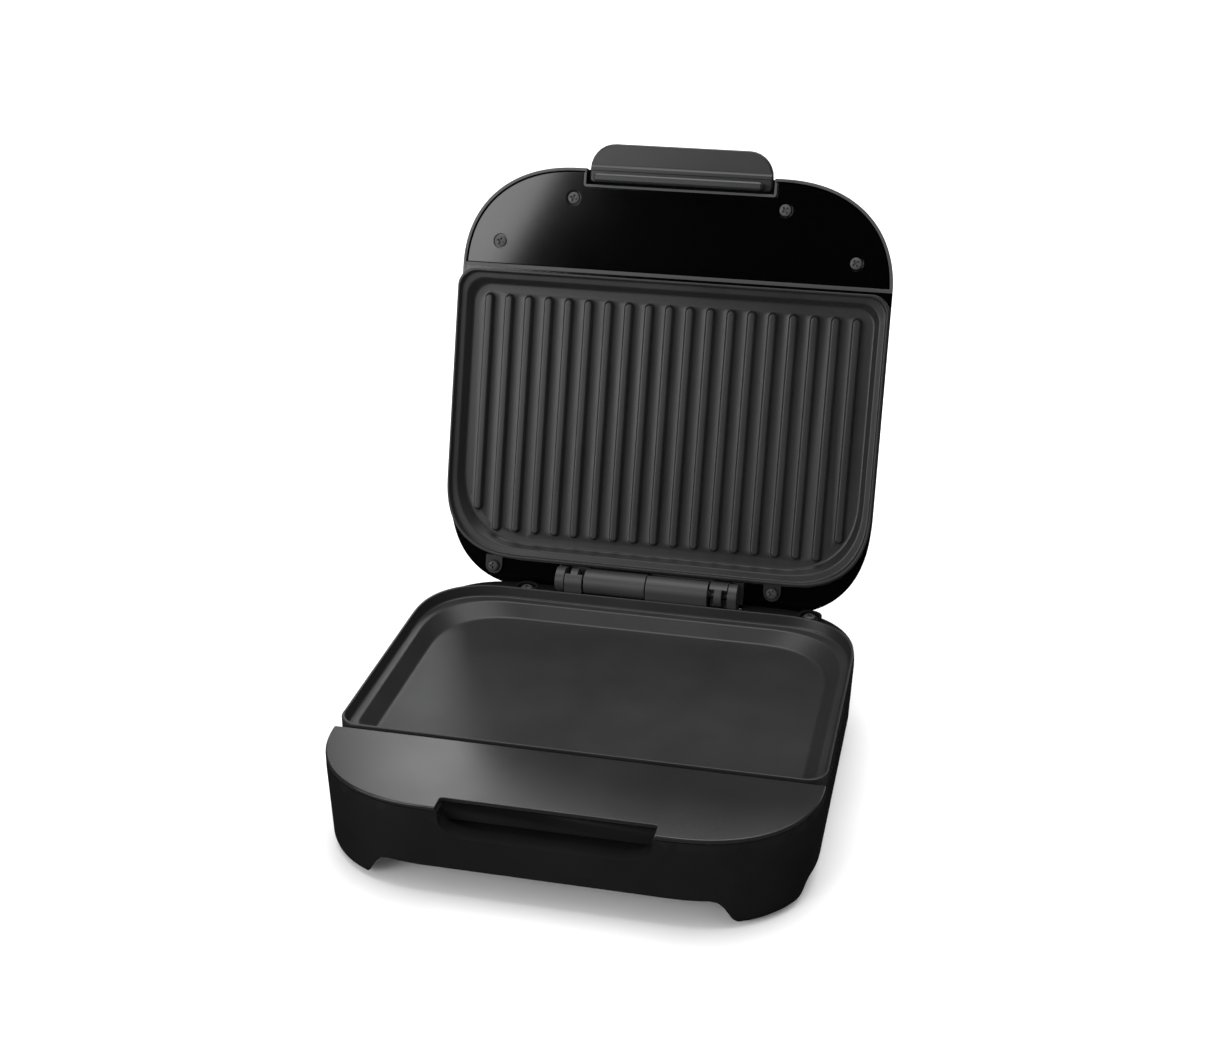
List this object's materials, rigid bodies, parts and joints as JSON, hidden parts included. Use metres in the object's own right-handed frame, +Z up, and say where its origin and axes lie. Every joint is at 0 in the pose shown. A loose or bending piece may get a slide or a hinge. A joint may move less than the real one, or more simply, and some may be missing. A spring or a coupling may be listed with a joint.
{
  "type": "sandwich maker",
  "caption": "Compact contact sandwich maker: deep arched base with a flat non-stick tray, ribbed lid plate, glossy bezel, front handle tab and a rear pinned hinge, shown open.",
  "frame": {"origin": "middle of the bottom of the open sandwich maker's bounding box, on the plane that its foot pads stand on", "axes": "+X to the right seen from the front, +Y from the front apron to the hinge, +Z up"},
  "size_m": [0.2364, 0.3262, 0.2754],
  "materials": {
    "shell_plastic": "fine moulded texture, matte",
    "apron_satin": "satin",
    "bezel_gloss": "piano gloss",
    "handle_plastic": "satin",
    "nonstick": "non-stick coating, satin",
    "frame_paint": "satin",
    "hinge_paint": "satin",
    "screw_steel": "zinc plated",
    "reflector_sheet": "bright sheet",
    "heater_sheath": "heat-dulled sheath",
    "rubber": "matte",
    "phenolic": "matte",
    "nylon": "matte",
    "lens_red": "clear tinted",
    "lens_green": "clear tinted",
    "lamp_glass": "clear"
  },
  "bodies": {
    "base": {"base_shell": "shell_plastic", "base_apron": "apron_satin", "base_plate": "nonstick", "base_frame": "frame_paint", "base_reflector": "reflector_sheet", "base_heater": "heater_sheath", "base_hinge": "hinge_paint", "base_thermal_fuse": "reflector_sheet", "base_frame_screw_left": "screw_steel", "base_frame_screw_right": "screw_steel", "base_hinge_screw_barrel": "screw_steel", "base_hinge_screw_knuckle": "screw_steel", "base_thermostat": "phenolic", "terminal_block": "nylon", "bottom_cover": "shell_plastic", "hinge_pin": "screw_steel", "foot_pad_front_left": "rubber", "foot_pad_front_right": "rubber", "foot_pad_rear_left": "rubber", "foot_pad_rear_right": "rubber", "cover_screw_front_left": "screw_steel", "cover_screw_front_right": "screw_steel", "cover_screw_rear_left": "screw_steel", "cover_screw_rear_right": "screw_steel", "cord_gland": "rubber"},
    "lid": {"lid_shell": "bezel_gloss", "lid_bezel": "bezel_gloss", "lid_plate": "nonstick", "lid_frame": "frame_paint", "lid_reflector": "reflector_sheet", "lid_heater": "heater_sheath", "lid_hinge": "hinge_paint", "lid_thermal_fuse": "reflector_sheet", "lid_frame_screw_left": "screw_steel", "lid_frame_screw_right": "screw_steel", "lid_hinge_screw_barrel": "screw_steel", "lid_hinge_screw_knuckle": "screw_steel", "lid_handle": "handle_plastic", "bezel_screw_outer_left": "screw_steel", "bezel_screw_inner_left": "screw_steel", "bezel_screw_inner_right": "screw_steel", "bezel_screw_outer_right": "screw_steel", "handle_screw_left": "screw_steel", "handle_screw_right": "screw_steel", "pilot_lens_red": "lens_red", "pilot_lens_green": "lens_green", "pilot_lamp_red": "lamp_glass", "pilot_lamp_green": "lamp_glass"}
  },
  "joints": [
    {"name": "lid_hinge", "type": "hinge", "parent": "base", "child": "lid", "pos_m": [0, 0.06126, 0.0527], "axis": [1, 0, 0], "range_deg": [0, 107.5]}
  ]
}
